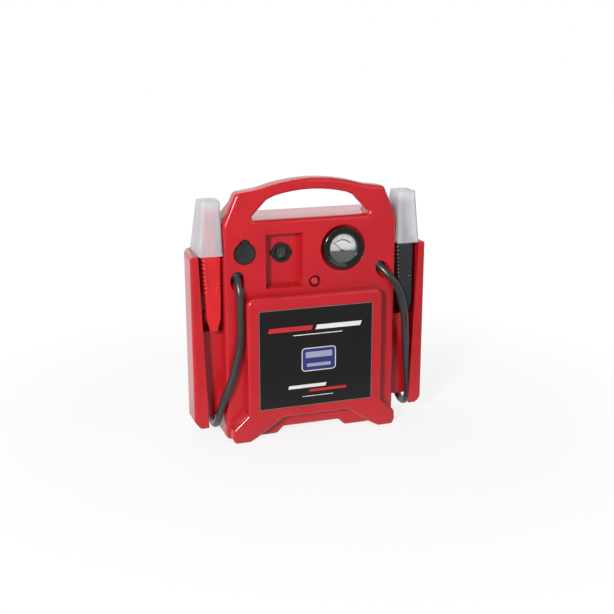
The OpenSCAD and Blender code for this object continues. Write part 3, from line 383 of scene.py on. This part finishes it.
def frame_of(x0, x1, z0, z1, radius, width):
    """The border of a rounded plate, as one strip between each two points of its outline."""
    outer = rounded_plate(x0, x1, z0, z1, radius)
    inner = rounded_plate(x0 + width, x1 - width, z0 + width, z1 - width, radius - width)
    i = np.arange(len(outer))
    return [np.array([outer[a], outer[b], inner[b], inner[a]])
            for a, b in zip(i, (i + 1) % len(outer))]


white_ink = moulded("white_screen_ink", "#E6E3E1", 0.4, 0.3, depth=0.01)
red_ink = moulded("red_screen_ink", "#C8202A", 0.4, 0.3, depth=0.01)
blue_ink = moulded("blue_screen_ink", "#2B3274", 0.38, 0.3, depth=0.01)
grey_ink = moulded("pale_grey_screen_ink", "#9A9FB8", 0.4, 0.3, depth=0.01)
edge_ink = moulded("grey_edge_line", "#8E7F7F", 0.4, 0.3, depth=0.01)
label_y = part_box("label_plate")[0][1] * 1000
prints = {
    "label_edge_line": (edge_ink, frame_of(-87.2, 87.2, 48.3, 197.7, 1.3, 0.7)),
    "label_white_stripes": (white_ink, [
        rounded_plate(-2, 68, 164, 171, 0.5, 0.35), rounded_plate(-36, 40, 157, 158.2, 0.3),
        rounded_plate(-44, 14, 76, 81, 0.5, 0.35), rounded_plate(-22, 26, 62, 63, 0.3)]),
    "label_red_stripes": (red_ink, [
        rounded_plate(-74, -8, 164, 171, 0.5, 0.35), rounded_plate(-12, 46, 69, 73, 0.5, 0.35)]),
    "label_badge": (blue_ink, [rounded_plate(-21.6, 28.6, 102.6, 135.4, 4)]),
    "label_badge_border": (white_ink, frame_of(-23, 30, 101.2, 136.8, 5.4, 1.2)),
    "label_badge_bars": (grey_ink, [
        rounded_plate(-17, 24, 121.5, 130.5, 1.2), rounded_plate(-15, 22, 108, 113, 1.0)]),
}
for name, (ink, outlines) in prints.items():
    mark = inlay(name, outlines, label_y, 0.04 if name.endswith("bars") else 0.02, ink)

# ---- holsters ----
# Each holster is one red ABS moulding, screwed to the housing's flank. Its edges have a
# larger radius than the housing's lines.

for node in ("left_holster", "right_holster"):
    soften(node, red_abs, 0.7)

# ---- jaw caps ----
# A cap of milky low density polyethylene stands over each pair of jaws. Light comes
# through it blurred, and its edges look whiter.


def milky(name):
    """Blow moulded polyethylene: it scatters the light that comes through it, thicker at its
    waves of 8 mm, and has a waxy sheen."""
    finish = blank(name)
    place = add(finish, "TexCoord").outputs["Object"]
    drawn = add(finish, "Mapping", Vector=place, Scale=(1.0, 1.0, 0.15))
    cloud = add(finish, "TexNoise", Vector=drawn.outputs[0], Scale=120.0, Detail=2.0)
    tint = two_tone(finish, cloud.outputs[0], linear("#E9EAF1"), linear("#FAFAFC"), 0.3, 0.7)
    wave = add(finish, "TexNoise", Vector=drawn.outputs[0], Scale=200.0, Detail=1.0)
    bump = add(finish, "Bump", Height=wave.outputs[0], Strength=0.2, Distance=0.0003)
    shader = add(finish, "BsdfPrincipled", Base_Color=tint, IOR=1.3, Roughness=0.4,
                 Transmission_Weight=0.72, Normal=bump.outputs[0])
    add(finish, "OutputMaterial", Surface=shader.outputs[0])
    return finish


cap_plastic = milky("milky_polyethylene")
for node in ("left_jaw_cap", "right_jaw_cap"):
    soften(node, cap_plastic, 0.5)

# ---- twelve volt outlet ----
# A plated sleeve in a black nylon bezel, with a soft black lid on a steel pin.

black_nylon = moulded("black_nylon", "#1B1C1C", 0.42, 0.6)
lid_rubber = rubber("lid_rubber", "#232626", 0.48)


def metal(name, shade, roughness, across):
    """Metal with fine drawn lines along X, of this spacing in millimetres, where its gloss and
    its colour change a little."""
    finish = blank(name)
    place = add(finish, "TexCoord").outputs["Object"]
    stretch = add(finish, "Mapping", Vector=place, Scale=(0.05, 1.0, 1.0))
    lines = add(finish, "TexNoise", Vector=stretch.outputs[0], Scale=1000.0 / across, Detail=2.0)
    base = linear(shade)
    tint = two_tone(finish, lines.outputs[0], shaded(base, 0.85), base)
    gloss = add(finish, "MapRange", in_0=lines.outputs[0], in_3=roughness - 0.08,
                in_4=roughness + 0.08)
    shader = add(finish, "BsdfPrincipled", Base_Color=tint, Metallic=1.0,
                 Roughness=gloss.outputs[0])
    add(finish, "OutputMaterial", Surface=shader.outputs[0])
    return finish


zinc_steel = metal("zinc_plated_steel", "#B9BCC0", 0.32, 0.5)
turned_brass = metal("turned_brass", "#C9A24C", 0.3, 0.4)


def dress(finish, *names):
    """Gives carried-over solids their material."""
    for node in names:
        nodes[node].data.materials.clear()
        nodes[node].data.materials.append(finish)


soften("outlet_bezel", black_nylon, 0.3)
soften("outlet_lid", lid_rubber, 0.5)
dress(zinc_steel, "outlet_sleeve", "outlet_lid_pin")
dress(turned_brass, "outlet_contact")
dress(black_nylon, "outlet_nut")

# ---- charging inlet ----
# A black nylon inlet with three nickel plated pins that stand in its cup, at the back of
# its recess. The cup has a grey floor.

soften("inlet_body", black_nylon, 0.4)
bright_nickel = metal("nickel_plate", "#B5B2A8", 0.3, 0.4)
dress(bright_nickel, "inlet_pins")
grey_nylon = moulded("dark_grey_nylon", "#3B3F3C", 0.4, 0.6)
inlet_low, inlet_high = np.array(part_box("inlet_body")) * 1000
inlet_x, inlet_z, cup_r = -42.0, (inlet_low[2] + inlet_high[2]) / 2, 10.4
cup_y = inlet_low[1] + 9
cup_floor = rounded_plate(inlet_x - cup_r, inlet_x + cup_r, inlet_z - cup_r, inlet_z + cup_r, cup_r)
inlay("inlet_face", [cup_floor], cup_y, 1.0, grey_nylon)

# ---- meter ----
# A moving coil meter: a glossy black case with a wide conical bezel, a printed dial, a
# needle, a grey mask with a window, and an acrylic lens.

gloss_black = moulded("gloss_black_abs", "#131415", 0.16, 0.6, coat=0.5, depth=0.01)
soften("meter_case", gloss_black, 0.5)
dial_card = moulded("printed_dial_card", "#F1F1EE", 0.5, 0.3, depth=0.01)
dress(dial_card, "meter_dial")
dress(turned_brass, "meter_movement")
needle_paint = moulded("needle_paint", "#1A1A1A", 0.5, 0.4)
dress(needle_paint, "meter_needle")

lens_low, lens_high = np.array(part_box("meter_lens")) * 1000
meter_x, meter_z = (lens_low[0] + lens_high[0]) / 2, (lens_low[2] + lens_high[2]) / 2
lens_r = (lens_high[0] - lens_low[0]) / 2
pivot_z = meter_z - 5.5    # the needle's pin
dial_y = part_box("meter_dial")[0][1] * 1000
number_r = 20.9


def arc_band(r0, r1, start, stop):
    """A band of the dial between two radii, from one angle to the other, 0 straight up and
    positive to the right."""
    a = np.radians(np.linspace(start, stop, 25))
    ring = np.vstack([np.column_stack([np.sin(a), np.cos(a)]) * r1,
                      np.column_stack([np.sin(a), np.cos(a)])[::-1] * r0])
    return ring + [meter_x, pivot_z]


green_ink = moulded("green_dial_ink", "#5E8C3A", 0.5, 0.3, depth=0.01)
yellow_ink = moulded("yellow_dial_ink", "#D9B92C", 0.5, 0.3, depth=0.01)
black_ink = moulded("black_dial_ink", "#23252B", 0.5, 0.3, depth=0.01)
scale_marks = {
    "dial_yellow_band": (yellow_ink, [arc_band(15.8, 17.4, -50, -34)]),
    "dial_green_band": (green_ink, [arc_band(15.8, 17.4, -34, -8)]),
    "dial_black_band": (black_ink, [arc_band(15.8, 17.4, -8, 50)]),
    "dial_ticks": (black_ink, [arc_band(17.4, 19.2 if k % 2 == 0 else 18.4, a - 0.9, a + 0.9)
                               for k, a in enumerate(np.linspace(-48, 48, 9))]),
}
for name, (ink, outlines) in scale_marks.items():
    inlay(name, outlines, dial_y, 0.03, ink)


def figures(name, words, size, y, finish):
    """Plain numbers, made a mesh and stood upright before they are placed. Each word is
    (text, x, z, turn), the turn in degrees to the right."""
    points, faces, base = [], [], 0
    for text, x, z, turn in words:
        curve = bpy.data.curves.new(name, "FONT")
        curve.body, curve.size = text, size
        curve.align_x, curve.align_y = "CENTER", "CENTER"
        stencil = bpy.data.objects.new(name + "_stencil", curve)
        scene.collection.objects.link(stencil)
        flat = bpy.data.meshes.new_from_object(
            stencil.evaluated_get(bpy.context.evaluated_depsgraph_get()))
        bpy.data.objects.remove(stencil)
        v = np.empty(len(flat.vertices) * 3)
        flat.vertices.foreach_get("co", v)
        v = v.reshape(-1, 3)
        c, s = math.cos(math.radians(turn)), math.sin(math.radians(turn))
        points.append(np.column_stack([x + c * v[:, 0] + s * v[:, 1], np.full(len(v), y),
                                       z - s * v[:, 0] + c * v[:, 1]]))
        faces += [[base + i for i in face.vertices] for face in flat.polygons]
        base += len(v)
        bpy.data.meshes.remove(flat)
        bpy.data.curves.remove(curve)
    return piece_of(name, np.vstack(points) / 1000, faces, finish)


volts = [(str(8 + 2 * k), meter_x + number_r * math.sin(math.radians(a)),
          pivot_z + number_r * math.cos(math.radians(a)), a * 0.6)
         for k, a in enumerate(np.linspace(-48, 48, 5))]
figures("dial_numbers", volts, 2.6, dial_y - 0.03, black_ink)

# The mask is a disc with a window in it. From a point lift above the meter's middle, the
# disc's edge lies at rim, and the window's at edge: the nearer of a circle about that
# middle and a straight foot under it, joined softly by a mean of a high order.
mask_plastic = moulded("grey_mask_plastic", "#434547", 0.4, 0.5)
mask_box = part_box("meter_mask")
turn = np.linspace(0, 2 * math.pi, 120, endpoint=False)
lift, window_r, foot_drop, order, mask_r = 5.0, 20.0, 4.3, 14.0, lens_r - 0.1
climb = lift * np.sin(turn)
circle = -climb + np.sqrt(climb**2 - lift**2 + window_r**2)
foot = np.where(np.sin(turn) < -0.01, (lift + foot_drop) / np.maximum(-np.sin(turn), 0.01), 1e3)
edge = (circle**-order + foot**-order)**(-1 / order)
rim = -climb + np.sqrt(climb**2 - lift**2 + mask_r**2)
front, back = mask_box[0][1], mask_box[1][1]
rows = [(rim, back), (rim, front + 2e-4), (rim - 0.2, front), (edge + 0.9, front),
        (edge, front + 7e-4), (edge, back)]
grid = np.array([np.column_stack([meter_x + s * np.cos(turn), np.full(len(turn), y * 1000),
                                  meter_z + lift + s * np.sin(turn)]) for s, y in rows]) / 1000
mask = skin("meter_mask_plate", grid, mask_plastic, ends=False)
mask.data.set_sharp_from_angle(angle=math.radians(35))
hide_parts("meter_mask")

clear = blank("clear_acrylic")
pane = add(clear, "BsdfPrincipled", Base_Color=(1, 1, 1, 1), IOR=1.49, Roughness=0.03,
           Transmission_Weight=1.0)
add(clear, "OutputMaterial", Surface=pane.outputs[0])
dress(clear, "meter_lens")

# ---- test button ----
# A bright red button in a sunk collar. The collar's black nylon finish is partly its own
# colour and partly painted shade: it darkens the ring round the button, where shadow falls.
# It presses a small black switch behind the housing's wall.

# The collar's black is partly painted shade, for the shadowed ring round the button.
soften("button_bezel", black_nylon, 0.3)
button_plastic = moulded("bright_red_button", "#D8242E", 0.25, 0.5, coat=0.4)
soften("test_button", button_plastic, 0.3)
dress(black_nylon, "test_switch")

# ---- glands ----
# Two black rubber glands, of the same rubber as the outlet's lid, grip the leads where they
# leave the housing.

for node in ("left_gland", "right_gland"):
    soften(node, lid_rubber, 0.3)

# ---- clamps ----
# Pressed steel jaws dipped in vinyl, with ribbed vinyl grips, a steel pin and a coiled
# spring. A spring's wire coils round its pin, with a leg down each grip.

red_vinyl = moulded("dipped_red_vinyl", "#D3141C", 0.3, 0.7, coat=0.6)
black_vinyl = moulded("dipped_black_vinyl", "#222225", 0.32, 0.7, coat=0.9)
wire_radius, coil_radius, turns, pitch = 1.0, 5.4, 3.5, 2.486
pin_y, pin_z = -14, 292


def spring_path(middle):
    """The wire of a torsion spring round a pin along X: a helix x = pitch (s - turns / 2),
    y = -R cos 2 pi s, z = R sin 2 pi s, and a leg from each end down its grip."""
    s = np.linspace(0, turns, 113)
    coil = np.column_stack([pitch * (s - turns / 2), -coil_radius * np.cos(2 * math.pi * s),
                            coil_radius * np.sin(2 * math.pi * s)])
    x = pitch * turns / 2
    front = smooth(np.array([(-x, -13.76, -30), (-x, -10.76, -16), (-x, -5.8, -5), coil[0]]), 6)
    rear = smooth(np.array([coil[-1], (x, 5.8, -5), (x, 13.4, -16), (x, 16.4, -30)]), 6)
    return (np.vstack([front[:-1], coil, rear[1:]]) + middle) / 1000


def grip_ribs(x):
    """Ribs 5.6 mm apart down both edges of a front grip, as tubes 2.8 mm thick that bend round
    its corners. Its half width is 13 - 3 s and its front lies at y = -33.2 - 4.9 s, where s
    goes from 0 at its top to 1 where it narrows, 94.5 mm below."""
    bend = smooth(np.array([(-5.0, 0.5), (-3.8, -0.2), (-0.6, 1.5), (0.2, 3.4), (0.2, 6.0)]), 3)
    top_z, narrows, rib_radius = 278.5, 94.5, 0.0014
    drop = 6.8 + 5.6 * np.arange(9)
    rings = []
    for hand in (-1, 1):
        for z, s in zip(top_z - drop, drop / narrows):
            path = np.column_stack([x + hand * (13 - 3 * s + bend[:, 0]),
                                    -33.2 - 4.9 * s + bend[:, 1], np.full(len(bend), z)])
            rings.append(ring_path(path / 1000, rib_radius, 10, reference=(0.0, 0.0, 1.0)))
    return np.array(rings)


for side, grip, x in (("positive", red_vinyl, -148), ("negative", black_vinyl, 148)):
    for part, width in (("rear_grip", 0.6), ("front_grip", 0.6), ("rear_jaw", 0.25),
                        ("front_jaw", 0.25)):
        soften(side + "_" + part, grip, width)
    dress(zinc_steel, side + "_pivot_pin")
    rings = ring_path(spring_path((x, pin_y, pin_z)), wire_radius / 1000, 12)
    wire = skin(side + "_spring_wire", rings, zinc_steel, body=None)
    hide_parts(side + "_spring")
    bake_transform(wire)
    ribs = skin(side + "_grip_ribs", grip_ribs(x), grip, side + "_half")

# ---- screws ----
# Blackened steel screws hold the housing's halves, the holsters and the caps. They are the
# CAD's own solids in a better finish.

black_steel = metal("blackened_steel", "#3A3B3D", 0.4, 0.4)
dress(black_steel, "housing_screws", "holster_screws", "cap_screws")

# ---- inside ----
# Hidden in the case: the sealed battery with its brass lugs and two cables, and the charger
# board with its transformer and screws.

battery_case = moulded("grey_battery_case", "#2C3138", 0.5, 0.8)
dress(battery_case, "battery")
dress(turned_brass, "battery_lugs")
dress(rubber("red_cable_jacket", "#A81414", 0.45), "positive_inner_cable")
dress(lead_rubber, "negative_inner_cable")
dress(moulded("green_solder_mask", "#1E5A34", 0.35, 0.4), "charger_board")
dress(black_steel, "charger_transformer")
dress(zinc_steel, "board_screws")
